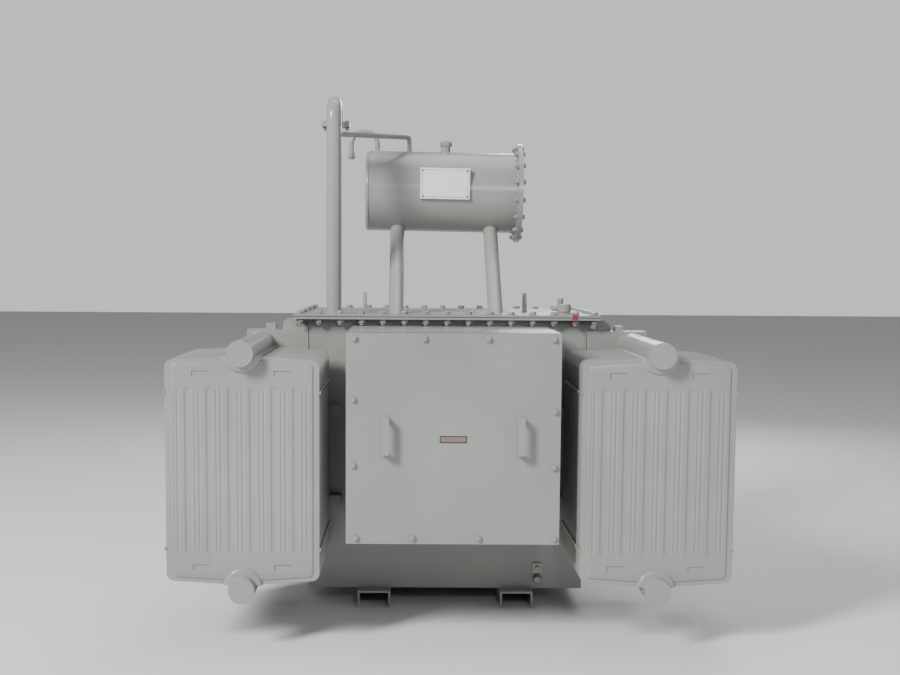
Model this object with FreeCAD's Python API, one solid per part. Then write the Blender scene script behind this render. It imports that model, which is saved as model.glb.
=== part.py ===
import FreeCAD, Part
import math
import os

from FreeCAD import Vector

# Oil-filled power transformer: welded tank on two channel skids, two pressed-steel radiators
# standing in front of the tank, a cable box on the front and one on the back, and an oil
# conservator with its vent pipe over the lid.
# Millimetres. +X right, +Y away from the front, +Z up. Z = 0 is the underside of the skids.
# Everything is laid out about the vertical line through the middle of the tank, and moved
# at the end so that the origin is under the middle of the overall footprint.

# ---- Tank, rim and lid ----
tank_length = 1054.0
tank_width = 680.0
tank_height = 1044.0
tank_corner_radius = 8.0
rim_overhang = 50.0
rim_thickness = 8.0
gasket_thickness = 3.0
gasket_width = 44.0
lid_thickness = 8.0

# ---- Skids (channels, web up, running front to back) ----
skid_spacing = 544.0
skid_width = 125.0
skid_height = 65.0
skid_wall = 8.0
skid_overrun = 57.0

# ---- Tank stiffeners (channels, toes to the wall, two bands each side) ----
stiffener_height = 55.0
stiffener_depth = 38.0
stiffener_wall = 5.0
stiffener_low_rise = 337.0
stiffener_high_rise = 682.0
stiffener_box_gap = 25.0

# ---- Radiators ----
header_reach = 175.0
header_low_rise = 143.0
header_spacing = 800.0
header_radius = 44.45
header_wall = 3.6
header_cap = 5.0
header_nose = 50.0
fin_count = 12
fin_pitch = 45.0
fin_width = 520.0
fin_seam = 2.6
fin_body = 10.0
fin_rim = 22.0
fin_corner_radius = 25.0
fin_inset_from_header = 7.0
fin_slope = 17.0
fins_to_duct = 65.0
tie_width = 8.0
tie_thickness = 5.0
tie_half_spacing = 268.0

# ---- Ducts (square box ducts that carry oil from the tank sides to the headers) ----
duct_margin = 5.55
duct_wall = 4.0
duct_end_margin = 56.0

# ---- Cable boxes, one on the front wall and one on the back wall ----
cable_box_width = 730.0
cable_box_offset = 10.0
cable_box_rise = 288.0
cable_box_height = 723.0
cable_box_depth = 522.0
cable_box_wall = 4.0
cable_box_lip = 35.0
cover_thickness = 8.0
handle_span = 120.0
handle_reach = 38.0
handle_radius = 6.0
handle_offset_x = 230.0
handle_offset_z = 10.0
label_width = 92.0
label_height = 24.0
label_thickness = 1.5
label_rise = 0.0

# ---- Oil conservator over the lid ----
conservator_radius = 161.95
conservator_wall = 4.0
conservator_left = -313.0
conservator_right = 299.0
conservator_back = 130.0
conservator_rise = 486.0
conservator_tilt = 0.8
conservator_end = 10.0
conservator_end_radius = 8.0
flange_margin = 38.05
flange_thickness = 8.0
conservator_cover = 10.0
plate_width = 198.0
plate_height = 122.0
plate_thickness = 2.0
plate_pad = 8.0
plate_x = -4.0
plate_rise = 24.0
filler_x = 0.0
filler_radius = 19.0
filler_height = 24.0
filler_cap_radius = 24.0
filler_cap_height = 18.0

# ---- Conservator legs (pipes leaning back from the front of the lid) ----
leg_radius = 28.5
leg_wall = 4.0
leg_left_x = -194.0
leg_right_x = 185.0
leg_foot_inset = 70.0
leg_aim_below_axis = 105.0

# ---- Vent pipe with its gooseneck, and the two small pipes ----
vent_radius = 28.5
vent_wall = 3.0
vent_x = -430.0
vent_foot_inset = 80.0
vent_bend_radius = 62.0
vent_rise = 729.0
vent_flange_radius = 55.0
vent_flange_thickness = 8.0
small_pipe_radius = 10.0
small_pipe_wall = 2.0
equalizer_x = -147.0
equalizer_rise = 60.0
equalizer_fall = 33.0
equalizer_bend = 13.0
breather_x = -278.0
breather_reach = 107.0
breather_rise = 82.0
breather_drop = 90.0
breather_bend = 50.0
breather_nut_radius = 16.0
breather_nut_height = 22.0

# ---- Small fittings ----
lid_lug_offset_x = 323.0
lid_lug_height = 75.0
lid_lug_length = 90.0
lid_lug_thickness = 12.0
lid_lug_hole_radius = 15.0
tank_lug_reach = 98.0
tank_lug_thickness = 14.0
tank_lug_inset = 30.0
tank_lug_hole_radius = 14.0
tank_lug_hole_offset = 34.0
left_block_width = 36.0
left_block_height = 24.0
left_block_from_duct_end = 72.0
right_block_width = 28.0
right_block_height = 20.0
right_block_from_duct_end = 89.0
block_depth = 60.0
pocket_x = 446.0
pocket_inset = 140.0
pocket_radius = 23.0
pocket_height = 38.0
pocket_cap_radius = 11.0
pocket_cap_height = 22.0
plug_x = 355.0
plug_rise = 38.0
plug_radius = 17.0
plug_length = 30.0
pad_rise = 81.0
pad_size = 36.0
pad_thickness = 12.0
strap_x = 470.0
strap_width = 17.0
strap_thickness = 3.0

# ---- Levels and faces that several pieces share ----
tank_base_z = skid_height
tank_top_z = tank_base_z + tank_height
lid_base_z = tank_top_z + gasket_thickness
lid_top_z = lid_base_z + lid_thickness
half_length = tank_length / 2
half_width = tank_width / 2
header_offset = half_length + header_reach
header_low_z = tank_base_z + header_low_rise
header_high_z = header_low_z + header_spacing
duct_size = 2 * (header_radius + duct_margin)
fin_stack = (fin_count - 1) * fin_pitch + fin_body
fins_front_y = -half_width - fins_to_duct - fin_stack
header_front_y = fins_front_y - header_nose
cable_box_face = half_width + cable_box_depth
cover_face = cable_box_face + cover_thickness
cable_box_low_z = tank_base_z + cable_box_rise
cable_box_high_z = cable_box_low_z + cable_box_height
cable_box_mid_z = cable_box_low_z + cable_box_height / 2
duct_end = header_offset + duct_end_margin
conservator_axis_z = lid_top_z + conservator_rise
conservator_top_z = conservator_axis_z + conservator_radius
flange_radius = conservator_radius + flange_margin
vent_bend_z = lid_top_z + vent_rise
equalizer_z = conservator_top_z + equalizer_rise
breather_top_z = conservator_top_z + breather_rise
breather_low_z = breather_top_z - breather_drop

# The headers reach further forward than the back cable box's handles reach back.
back_reach = cover_face + handle_reach + handle_radius
origin_shift = Vector(0, (-header_front_y - back_reach) / 2, 0)

os.makedirs("parts", exist_ok=True)


def block(x0, x1, y0, y1, z0, z1):
    """Axis-aligned block between two corners."""
    return Part.makeBox(x1 - x0, y1 - y0, z1 - z0, Vector(x0, y0, z0))


def save(name, *solids):
    """Write one node, moved so that the origin is under the footprint's middle."""
    shape = solids[0] if len(solids) == 1 else Part.makeCompound(list(solids))
    shape = shape.copy()
    shape.translate(origin_shift)
    shape.exportStep("parts/" + name + ".step")


def turned(shape):
    """The same piece on the back of the tank, half a turn about the middle."""
    copy = shape.copy()
    copy.rotate(Vector(0, 0, 0), Vector(0, 0, 1), 180)
    return copy


def mirrored(shape):
    """The same piece on the other side of the tank."""
    return shape.mirror(Vector(0, 0, 0), Vector(1, 0, 0))


def pipe_along(wire, start, direction, outer, wall):
    """Hollow pipe along a path of straight runs and tangent arcs."""
    solids = []
    for radius in (outer, outer - wall):
        ring = Part.Wire([Part.makeCircle(radius, start, direction)])
        solids.append(wire.makePipeShell([ring], True, False))
    return solids[0].cut(solids[1])


# ---- Tank: a closed, oil-filled housing ----
tank = block(-half_length, half_length, -half_width, half_width, tank_base_z, tank_top_z)
uprights = [edge for edge in tank.Edges if abs(edge.tangentAt(edge.FirstParameter).z) > 0.99]
tank = tank.makeFillet(tank_corner_radius, uprights)
save("tank_body", tank)

# Flat rim welded round the tank's mouth, gasket on it, and the lid.
rim_x = half_length + rim_overhang
rim_y = half_width + rim_overhang
rim = block(-rim_x, rim_x, -rim_y, rim_y, tank_top_z - rim_thickness, tank_top_z).cut(tank)
save("tank_rim", rim)

gasket_x = rim_x - gasket_width
gasket_y = rim_y - gasket_width
gasket = block(-rim_x, rim_x, -rim_y, rim_y, tank_top_z, lid_base_z)
gasket = gasket.cut(block(-gasket_x, gasket_x, -gasket_y, gasket_y, tank_top_z, lid_base_z))
save("lid_gasket", gasket)

lid = block(-rim_x, rim_x, -rim_y, rim_y, lid_base_z, lid_top_z)
save("tank_lid", lid)

# ---- Skids under the tank ----
skid_y = half_width + skid_overrun
skid_x0 = skid_spacing / 2 - skid_width / 2
skid_x1 = skid_spacing / 2 + skid_width / 2
skid = block(skid_x0, skid_x1, -skid_y, skid_y, 0, skid_height)
skid_hollow = block(skid_x0 + skid_wall, skid_x1 - skid_wall, -skid_y, skid_y, 0, skid_height - skid_wall)
skid = skid.cut(skid_hollow)
save("right_skid", skid)
save("left_skid", mirrored(skid))

# ---- Stiffeners: each band runs from the front cable box round the side to the back one ----
stop_x = cable_box_width / 2 + cable_box_offset + stiffener_box_gap
bands = []
for rise in (stiffener_low_rise, stiffener_high_rise):
    low = tank_base_z + rise - stiffener_height / 2
    high = tank_base_z + rise + stiffener_height / 2
    reach_x = half_length + stiffener_depth
    reach_y = half_width + stiffener_depth
    band = block(stop_x, reach_x, -reach_y, reach_y, low, high)
    inner = block(
        stop_x,
        reach_x - stiffener_wall,
        stiffener_wall - reach_y,
        reach_y - stiffener_wall,
        low + stiffener_wall,
        high - stiffener_wall,
    )
    bands.append(band.cut(inner).cut(tank))
save("right_stiffeners", *bands)
save("left_stiffeners", *[mirrored(band) for band in bands])

# ---- Radiators ----
header_levels = {"lower": header_low_z, "upper": header_high_z}
duct_front_y = -half_width
for level, mid_z in header_levels.items():
    # Box duct out of the tank's side, open to the tank, front face in line with the tank's.
    duct = block(
        half_length,
        duct_end,
        duct_front_y,
        duct_front_y + duct_size,
        mid_z - duct_size / 2,
        mid_z + duct_size / 2,
    )
    hollow = block(
        half_length,
        duct_end - duct_wall,
        duct_front_y + duct_wall,
        duct_front_y + duct_size - duct_wall,
        mid_z - duct_size / 2 + duct_wall,
        mid_z + duct_size / 2 - duct_wall,
    )
    mouth = Part.makeCylinder(
        header_radius, duct_wall, Vector(header_offset, duct_front_y, mid_z), Vector(0, 1, 0)
    )
    duct = duct.cut(hollow).cut(mouth)
    save("right_" + level + "_duct", duct)
    save("left_" + level + "_duct", mirrored(duct))

    # Header pipe from its closed nose to the inside of the duct's front wall.
    header_length = duct_front_y + duct_wall - header_front_y
    nose = Vector(header_offset, header_front_y, mid_z)
    bore_start = Vector(header_offset, header_front_y + header_cap, mid_z)
    header = Part.makeCylinder(header_radius, header_length, nose, Vector(0, 1, 0))
    bore = Part.makeCylinder(
        header_radius - header_wall, header_length - header_cap, bore_start, Vector(0, 1, 0)
    )
    header = header.cut(bore)
    save("right_" + level + "_header", header)
    save("left_" + level + "_header", mirrored(header))

# One fin: two pressed sheets seam-welded round the edge, thicker where they part to hold oil.
fin_mid_z = (header_low_z + header_high_z) / 2
fin_half = header_spacing / 2 - fin_inset_from_header


def fin_outline(inset, thickness, start_y):
    """Plate with sloping top and bottom edges and round corners, notched for the headers."""
    half = fin_width / 2 - inset
    peak = fin_half - inset
    side = peak - fin_slope * half / (fin_width / 2)
    corners = [
        Vector(header_offset - half, start_y, fin_mid_z - side),
        Vector(header_offset, start_y, fin_mid_z - peak),
        Vector(header_offset + half, start_y, fin_mid_z - side),
        Vector(header_offset + half, start_y, fin_mid_z + side),
        Vector(header_offset, start_y, fin_mid_z + peak),
        Vector(header_offset - half, start_y, fin_mid_z + side),
    ]
    face = Part.Face(Part.makePolygon(corners + [corners[0]]))
    plate = face.extrude(Vector(0, thickness, 0))
    upright = [
        edge
        for edge in plate.Edges
        if abs(edge.tangentAt(edge.FirstParameter).y) > 0.99
        and abs(edge.CenterOfMass.x - header_offset) > half - 1
    ]
    plate = plate.makeFillet(fin_corner_radius, upright)
    for mid_z in header_levels.values():
        centre = Vector(header_offset, start_y - 1, mid_z)
        plate = plate.cut(Part.makeCylinder(header_radius, thickness + 2, centre, Vector(0, 1, 0)))
    return plate


seam_plate = fin_outline(0, fin_seam, fins_front_y + (fin_body - fin_seam) / 2)
oil_plate = fin_outline(fin_rim, fin_body, fins_front_y)
fin = seam_plate.fuse(oil_plate).removeSplitter()
fins = []
for index in range(fin_count):
    copy = fin.copy()
    copy.translate(Vector(0, index * fin_pitch, 0))
    fins.append(copy)
save("right_radiator_fins", *fins)
save("left_radiator_fins", *[mirrored(item) for item in fins])

# Flat tie bars welded across the fins' edges, two each side of each radiator.
ties = []
for side in (-1, 1):
    edge_x = header_offset + side * fin_width / 2
    x0 = min(edge_x, edge_x + side * tie_thickness)
    for rise in (-tie_half_spacing, tie_half_spacing):
        low = fin_mid_z + rise - tie_width / 2
        ties.append(
            block(x0, x0 + tie_thickness, fins_front_y, fins_front_y + fin_stack, low, low + tie_width)
        )
save("right_radiator_ties", *ties)
save("left_radiator_ties", *[mirrored(item) for item in ties])

# ---- Cable boxes: open-fronted sheet boxes with an inward lip that the cover is bolted to ----
box_x0 = cable_box_offset - cable_box_width / 2
box_x1 = cable_box_offset + cable_box_width / 2
box = block(box_x0, box_x1, -cable_box_face, -half_width, cable_box_low_z, cable_box_high_z)
box_hollow = block(
    box_x0 + cable_box_wall,
    box_x1 - cable_box_wall,
    cable_box_wall - cable_box_face,
    -half_width,
    cable_box_low_z + cable_box_wall,
    cable_box_high_z - cable_box_wall,
)
box_mouth = block(
    box_x0 + cable_box_lip,
    box_x1 - cable_box_lip,
    -cable_box_face,
    cable_box_wall - cable_box_face,
    cable_box_low_z + cable_box_lip,
    cable_box_high_z - cable_box_lip,
)
box = box.cut(box_hollow).cut(box_mouth)
save("front_cable_box", box)
save("back_cable_box", turned(box))

cover = block(box_x0, box_x1, -cover_face, -cable_box_face, cable_box_low_z, cable_box_high_z)
save("front_box_cover", cover)
save("back_box_cover", turned(cover))

# Bent-rod handles on the covers.
handles = []
for side in (-1, 1):
    x = cable_box_offset + side * handle_offset_x
    grip_y = -cover_face - handle_reach
    low = cable_box_mid_z + handle_offset_z - handle_span / 2
    high = low + handle_span
    bend = 2 * handle_radius
    runs = [
        Part.LineSegment(Vector(x, -cover_face, low), Vector(x, grip_y + bend, low)),
        Part.Arc(
            Vector(x, grip_y + bend, low),
            Vector(x, grip_y + bend * (1 - math.sqrt(0.5)), low + bend * (1 - math.sqrt(0.5))),
            Vector(x, grip_y, low + bend),
        ),
        Part.LineSegment(Vector(x, grip_y, low + bend), Vector(x, grip_y, high - bend)),
        Part.Arc(
            Vector(x, grip_y, high - bend),
            Vector(x, grip_y + bend * (1 - math.sqrt(0.5)), high - bend * (1 - math.sqrt(0.5))),
            Vector(x, grip_y + bend, high),
        ),
        Part.LineSegment(Vector(x, grip_y + bend, high), Vector(x, -cover_face, high)),
    ]
    path = Part.Wire([run.toShape() for run in runs])
    section = Part.Wire([Part.makeCircle(handle_radius, Vector(x, -cover_face, low), Vector(0, 1, 0))])
    handles.append(path.makePipeShell([section], True, False))
save("front_cover_handles", *handles)
save("back_cover_handles", *[turned(item) for item in handles])

label_z = cable_box_mid_z + label_rise
label = block(
    cable_box_offset - label_width / 2,
    cable_box_offset + label_width / 2,
    -cover_face - label_thickness,
    -cover_face,
    label_z - label_height / 2,
    label_z + label_height / 2,
)
save("front_cover_label", label)

# ---- Conservator: shell along X, tipped slightly down to the right ----
axis_turn = conservator_tilt
pivot = Vector(0, conservator_back, conservator_axis_z)


def tipped(shape):
    """Tip a piece with the conservator about the axis through its pivot."""
    copy = shape.copy()
    copy.rotate(pivot, Vector(0, 1, 0), axis_turn)
    return copy


def along_x(radius, start_x, length):
    """Cylinder on the conservator's axis before it is tipped."""
    start = Vector(start_x, conservator_back, conservator_axis_z)
    return Part.makeCylinder(radius, length, start, Vector(1, 0, 0))


shell_length = conservator_right - conservator_left
flange_x = conservator_right - flange_thickness
outer_body = along_x(conservator_radius, conservator_left, shell_length)
inner_body = along_x(conservator_radius - conservator_wall, conservator_left, shell_length)
flange = along_x(flange_radius, flange_x, flange_thickness).cut(outer_body)

# The filler neck is a short pipe on top of the shell, closed by a screwed cap.
neck_base = Vector(filler_x, conservator_back, conservator_axis_z)
neck_height = conservator_radius + filler_height
neck = Part.makeCylinder(filler_radius, neck_height, neck_base).cut(outer_body)
neck_top = Vector(filler_x, conservator_back, conservator_axis_z + neck_height)
neck_cap = Part.makeCylinder(filler_cap_radius, filler_cap_height, neck_top)
save("conservator_filler", tipped(neck.fuse(neck_cap).removeSplitter()))

save("conservator_shell", tipped(outer_body.cut(inner_body)))
save("conservator_flange", tipped(flange))

left_end = along_x(conservator_radius, conservator_left - conservator_end, conservator_end)
face_x = conservator_left - conservator_end
outer_rim = [edge for edge in left_end.Edges if abs(edge.CenterOfMass.x - face_x) < 0.1]
left_end = left_end.makeFillet(conservator_end_radius, outer_rim)
save("conservator_left_end", tipped(left_end))

save("conservator_cover", tipped(along_x(flange_radius, conservator_right, conservator_cover)))

# Rating plate on a small pad that fills the curve behind it.
plate_half = plate_height / 2
plate_front = conservator_back - conservator_radius - plate_pad
plate = block(
    plate_x - plate_width / 2,
    plate_x + plate_width / 2,
    plate_front - plate_thickness,
    conservator_back,
    conservator_axis_z + plate_rise - plate_half,
    conservator_axis_z + plate_rise + plate_half,
).cut(outer_body)
save("rating_plate", tipped(plate))

# ---- Conservator legs: leaning pipes cut to sit on the lid and against the shell ----
tipped_body = tipped(outer_body)
foot_y = -rim_y + leg_foot_inset
leg_tops = {"left": leg_left_x, "right": leg_right_x}
for side, leg_x in leg_tops.items():
    rise = conservator_axis_z - leg_aim_below_axis - lid_top_z
    lean = conservator_back - foot_y
    direction = Vector(0, lean, rise)
    direction.normalize()
    start = Vector(leg_x, foot_y, lid_top_z) - direction * (4 * leg_radius)
    length = math.hypot(lean, rise) + 4 * leg_radius
    leg = Part.makeCylinder(leg_radius, length, start, direction)
    leg = leg.cut(Part.makeCylinder(leg_radius - leg_wall, length, start, direction))
    below_lid = block(
        leg_x - rim_x, leg_x + rim_x, -rim_y - 8 * leg_radius, rim_y, 0, lid_top_z
    )
    leg = leg.cut(below_lid).cut(tipped_body)
    pieces = sorted(leg.Solids, key=lambda item: item.CenterOfMass.z)
    save(side + "_conservator_leg", pieces[0])

# ---- Vent pipe: up from the lid, over a gooseneck, down to a bolted flange ----
vent_y = -rim_y + vent_foot_inset
bend_top = vent_bend_z + vent_bend_radius
vent_start = Vector(vent_x, vent_y, lid_top_z)
vent_path = Part.Wire(
    [
        Part.LineSegment(vent_start, Vector(vent_x, vent_y, vent_bend_z)).toShape(),
        Part.Arc(
            Vector(vent_x, vent_y, vent_bend_z),
            Vector(vent_x, vent_y + vent_bend_radius, bend_top),
            Vector(vent_x, vent_y + 2 * vent_bend_radius, vent_bend_z),
        ).toShape(),
    ]
)
vent = pipe_along(vent_path, vent_start, Vector(0, 0, 1), vent_radius, vent_wall)
mouth_y = vent_y + 2 * vent_bend_radius
save("vent_pipe", vent)

ring_base = Vector(vent_x, mouth_y, vent_bend_z - vent_flange_thickness)
plate_base = Vector(vent_x, mouth_y, vent_bend_z - 2 * vent_flange_thickness)
vent_ring = Part.makeCylinder(vent_flange_radius, vent_flange_thickness, ring_base)
vent_ring = vent_ring.cut(
    Part.makeCylinder(vent_radius - vent_wall, vent_flange_thickness, ring_base)
)
vent_plate = Part.makeCylinder(vent_flange_radius, vent_flange_thickness, plate_base)
save("vent_flange", vent_ring)
save("vent_cover", vent_plate)

# Small pipe from the vent pipe across to the top of the conservator.
start = Vector(vent_x, vent_y, equalizer_z - equalizer_fall)
across = Vector(equalizer_x - vent_x, conservator_back - vent_y, equalizer_fall)
span = across.Length
across.normalize()
corner = start + across * span
before = corner - across * equalizer_bend
after = corner - Vector(0, 0, equalizer_bend)
inward = Vector(0, 0, -1) - across
inward.normalize()
half_turn = math.acos(-inward.z)
middle = corner + inward * (equalizer_bend * (1 / math.cos(half_turn) - math.tan(half_turn)))
equalizer_path = Part.Wire(
    [
        Part.LineSegment(start, before).toShape(),
        Part.Arc(before, middle, after).toShape(),
        Part.LineSegment(after, Vector(corner.x, corner.y, conservator_axis_z)).toShape(),
    ]
)
equalizer = pipe_along(equalizer_path, start, across, small_pipe_radius, small_pipe_wall)
vent_core = Part.makeCylinder(vent_radius, vent_bend_z - lid_top_z, vent_start)
equalizer = equalizer.cut(tipped_body).cut(vent_core)
equalizer_pieces = sorted(equalizer.Solids, key=lambda item: item.Volume)
save("equalizer_pipe", equalizer_pieces[-1])

# Breather pipe: out of the conservator's top, over an arch, and down past its left end.
breather_end_x = breather_x - breather_reach
arch_z = breather_top_z - breather_bend
breather_start = Vector(breather_x, conservator_back, conservator_axis_z)
left_turn = Vector(breather_end_x + breather_bend, conservator_back, breather_top_z)
right_turn = Vector(breather_x - breather_bend, conservator_back, breather_top_z)
diagonal = breather_bend * math.sqrt(0.5)
breather_path = Part.Wire(
    [
        Part.LineSegment(breather_start, Vector(breather_x, conservator_back, arch_z)).toShape(),
        Part.Arc(
            Vector(breather_x, conservator_back, arch_z),
            Vector(right_turn.x + diagonal, conservator_back, arch_z + diagonal),
            right_turn,
        ).toShape(),
        Part.LineSegment(right_turn, left_turn).toShape(),
        Part.Arc(
            left_turn,
            Vector(left_turn.x - diagonal, conservator_back, arch_z + diagonal),
            Vector(breather_end_x, conservator_back, arch_z),
        ).toShape(),
        Part.LineSegment(
            Vector(breather_end_x, conservator_back, arch_z),
            Vector(breather_end_x, conservator_back, breather_low_z),
        ).toShape(),
    ]
)
breather = pipe_along(breather_path, breather_start, Vector(0, 0, 1), small_pipe_radius, small_pipe_wall)
breather = breather.cut(tipped_body)
breather_pieces = sorted(breather.Solids, key=lambda item: item.Volume)
save("breather_pipe", breather_pieces[-1])

nut_base = Vector(breather_end_x, conservator_back, breather_low_z - breather_nut_height)
coupling = Part.makeCylinder(breather_nut_radius, breather_nut_height, nut_base)
save("breather_coupling", coupling)

# ---- Lifting lugs ----
# Upright plates on the lid's long centre line, with a round eye near the top.
lid_lugs = []
eye_z = lid_top_z + lid_lug_height - 2 * lid_lug_hole_radius
for side in (-1, 1):
    x0 = side * lid_lug_offset_x - lid_lug_thickness / 2
    half = lid_lug_length / 2
    shoulder = lid_top_z + lid_lug_height / 3
    tip = lid_top_z + lid_lug_height
    outline = [
        Vector(x0, -half, lid_top_z),
        Vector(x0, half, lid_top_z),
        Vector(x0, half, shoulder),
        Vector(x0, half / 2, tip),
        Vector(x0, -half / 2, tip),
        Vector(x0, -half, shoulder),
    ]
    lug = Part.Face(Part.makePolygon(outline + [outline[0]])).extrude(Vector(lid_lug_thickness, 0, 0))
    eye_start = Vector(x0 - 1, 0, eye_z)
    eye = Part.makeCylinder(lid_lug_hole_radius, lid_lug_thickness + 2, eye_start, Vector(1, 0, 0))
    lid_lugs.append(lug.cut(eye))
save("lid_lifting_lugs", *lid_lugs)

# Plates welded to the tank's ends, standing on the upper ducts at the front.
lug_low = header_high_z + duct_size / 2
lug_high = tank_top_z - rim_thickness
lug_y0 = duct_front_y + tank_lug_inset
lug_reach = half_length + tank_lug_reach
round_radius = min(lug_high - lug_low, tank_lug_reach) * 0.6
lug = block(half_length, lug_reach, lug_y0, lug_y0 + tank_lug_thickness, lug_low, lug_high)
top_corner = [
    edge
    for edge in lug.Edges
    if abs(edge.tangentAt(edge.FirstParameter).y) > 0.99
    and edge.CenterOfMass.x > lug_reach - 1
    and edge.CenterOfMass.z > lug_high - 1
]
lug = lug.makeFillet(round_radius, top_corner)
eye = Part.makeCylinder(
    tank_lug_hole_radius,
    tank_lug_thickness + 2,
    Vector(half_length + tank_lug_hole_offset, lug_y0 - 1, (lug_low + lug_high) / 2),
    Vector(0, 1, 0),
)
lug = lug.cut(eye)
back_lug = lug.mirror(Vector(0, 0, 0), Vector(0, 1, 0))
save("tank_lifting_lugs", lug, mirrored(lug), back_lug, mirrored(back_lug))

# Small blocks on the upper ducts' outer ends.
block_y0 = duct_front_y + duct_wall
block_y1 = block_y0 + block_depth
right_block_x1 = duct_end - right_block_from_duct_end
right_block_x0 = right_block_x1 - right_block_width
right_block = block(
    right_block_x0, right_block_x1, block_y0, block_y1, lug_low, lug_low + right_block_height
)
left_block_x1 = duct_end - left_block_from_duct_end
left_block_x0 = left_block_x1 - left_block_width
left_block = block(
    -left_block_x1, -left_block_x0, block_y0, block_y1, lug_low, lug_low + left_block_height
)
save("duct_blocks", right_block, left_block)

# ---- Small fittings ----
# Thermometer pocket on the lid.
pocket_y = -rim_y + pocket_inset
pocket = Part.makeCylinder(pocket_radius, pocket_height, Vector(pocket_x, pocket_y, lid_top_z))
pocket_cap = Part.makeCylinder(
    pocket_cap_radius, pocket_cap_height, Vector(pocket_x, pocket_y, lid_top_z + pocket_height)
)
save("thermometer_pocket", pocket.fuse(pocket_cap).removeSplitter())

# Drain plug and earthing pad low on the tank's front wall.
plug_z = tank_base_z + plug_rise
pad_z = tank_base_z + pad_rise
plug = Part.makeCylinder(
    plug_radius, plug_length, Vector(plug_x, -half_width - plug_length, plug_z), Vector(0, 1, 0)
)
save("drain_plug", plug)

pad_x0 = plug_x - pad_size / 2
pad = block(
    pad_x0,
    pad_x0 + pad_size,
    -half_width - pad_thickness,
    -half_width,
    pad_z - pad_size / 2,
    pad_z + pad_size / 2,
)
save("earthing_pad", pad)

# Bonding strap round the front edge of rim, gasket and lid.
strap_inner = block(
    strap_x, strap_x + strap_width, -rim_y, -rim_y + rim_overhang / 2, tank_top_z - rim_thickness, lid_top_z
)
strap = block(
    strap_x,
    strap_x + strap_width,
    -rim_y - strap_thickness,
    -rim_y + rim_overhang / 2,
    tank_top_z - rim_thickness - strap_thickness,
    lid_top_z + strap_thickness,
).cut(strap_inner)
save("bonding_strap", strap)
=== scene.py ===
import math

import bpy
from mathutils import Euler, Matrix, Vector


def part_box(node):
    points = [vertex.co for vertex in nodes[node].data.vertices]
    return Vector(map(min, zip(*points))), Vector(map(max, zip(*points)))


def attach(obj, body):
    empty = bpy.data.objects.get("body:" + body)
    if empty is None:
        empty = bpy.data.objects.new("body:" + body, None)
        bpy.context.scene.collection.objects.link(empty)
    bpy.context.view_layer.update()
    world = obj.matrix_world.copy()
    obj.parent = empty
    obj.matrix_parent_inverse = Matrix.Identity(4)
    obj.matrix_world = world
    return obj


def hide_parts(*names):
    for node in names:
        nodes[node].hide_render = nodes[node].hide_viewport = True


# An oil-filled power transformer in grey enamel. The CAD model gives its plates, pipes and
# boxes; here they are painted, and get their pressed radiator elements, bolts and welds.
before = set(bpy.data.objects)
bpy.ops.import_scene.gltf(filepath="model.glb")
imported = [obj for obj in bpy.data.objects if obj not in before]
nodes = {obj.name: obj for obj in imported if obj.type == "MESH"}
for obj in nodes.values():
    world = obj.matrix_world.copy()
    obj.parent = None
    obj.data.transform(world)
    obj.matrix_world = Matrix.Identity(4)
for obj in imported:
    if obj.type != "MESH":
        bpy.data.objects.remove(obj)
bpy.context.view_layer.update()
bpy.ops.object.select_all(action="DESELECT")

# ---- Studio ----
# A pale seamless floor under a sky that looks brighter than it lights. A large soft light
# hangs high on the left, weaker ones above, at the right and behind, and a small one near the
# camera draws the streak along the conservator.
bpy.ops.mesh.primitive_plane_add(size=60, location=(0, 0, 0))
floor = bpy.context.object
floor.name = "studio_floor"
floor_paint = bpy.data.materials.new("studio_floor")
floor_paint.use_nodes = True
floor_shader = floor_paint.node_tree.nodes["Principled BSDF"]
floor_shader.inputs["Base Color"].default_value = (0.70, 0.70, 0.70, 1)
floor_shader.inputs["Roughness"].default_value = 0.8
floor.data.materials.append(floor_paint)

world = bpy.data.worlds.new("studio_sky")
bpy.context.scene.world = world
world.use_nodes = True
sky = world.node_tree.nodes["Background"]
sky.inputs["Color"].default_value = (0.97, 0.98, 1.0, 1)
sky_lighting = 0.32
sky_extra_seen = 0.44
seen_directly = world.node_tree.nodes.new("ShaderNodeLightPath")
sky_strength = world.node_tree.nodes.new("ShaderNodeMath")
sky_strength.operation = "MULTIPLY_ADD"
sky_strength.inputs[1].default_value = sky_extra_seen
sky_strength.inputs[2].default_value = sky_lighting
world.node_tree.links.new(seen_directly.outputs["Is Camera Ray"], sky_strength.inputs[0])
world.node_tree.links.new(sky_strength.outputs["Value"], sky.inputs["Strength"])


def hang_light(name, place, target, width, height, power, colour):
    """Hang a rectangular soft light at a place and aim it at a target."""
    bpy.ops.object.light_add(type="AREA", location=place)
    lamp = bpy.context.object
    lamp.name = name
    lamp.data.shape = "RECTANGLE"
    lamp.data.size = width
    lamp.data.size_y = height
    lamp.data.energy = power
    lamp.data.color = colour
    aim = Vector(target) - Vector(place)
    lamp.rotation_euler = aim.to_track_quat("-Z", "Y").to_euler()


hang_light("key_light", (-5.8, -6.2, 6.0), (0, 0, 0.9), 1.8, 3.2, 1450, (1, 0.99, 0.97))
hang_light("overhead_light", (0.6, 0.8, 5.2), (0, 0, 0), 3.0, 3.0, 65, (0.97, 0.99, 1))
hang_light("fill_light", (3.8, -3.6, 2.2), (0, 0, 0.8), 1.6, 1.6, 40, (0.97, 0.99, 1))
hang_light("back_light", (1.5, 4.6, 3.2), (0, 0, 0.9), 2.0, 2.0, 110, (1, 1, 1))
hang_light("streak_light", (0.60, -5.0, 2.60), (0.2, 0, 1.6), 0.50, 0.10, 26, (1, 1, 1))

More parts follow.
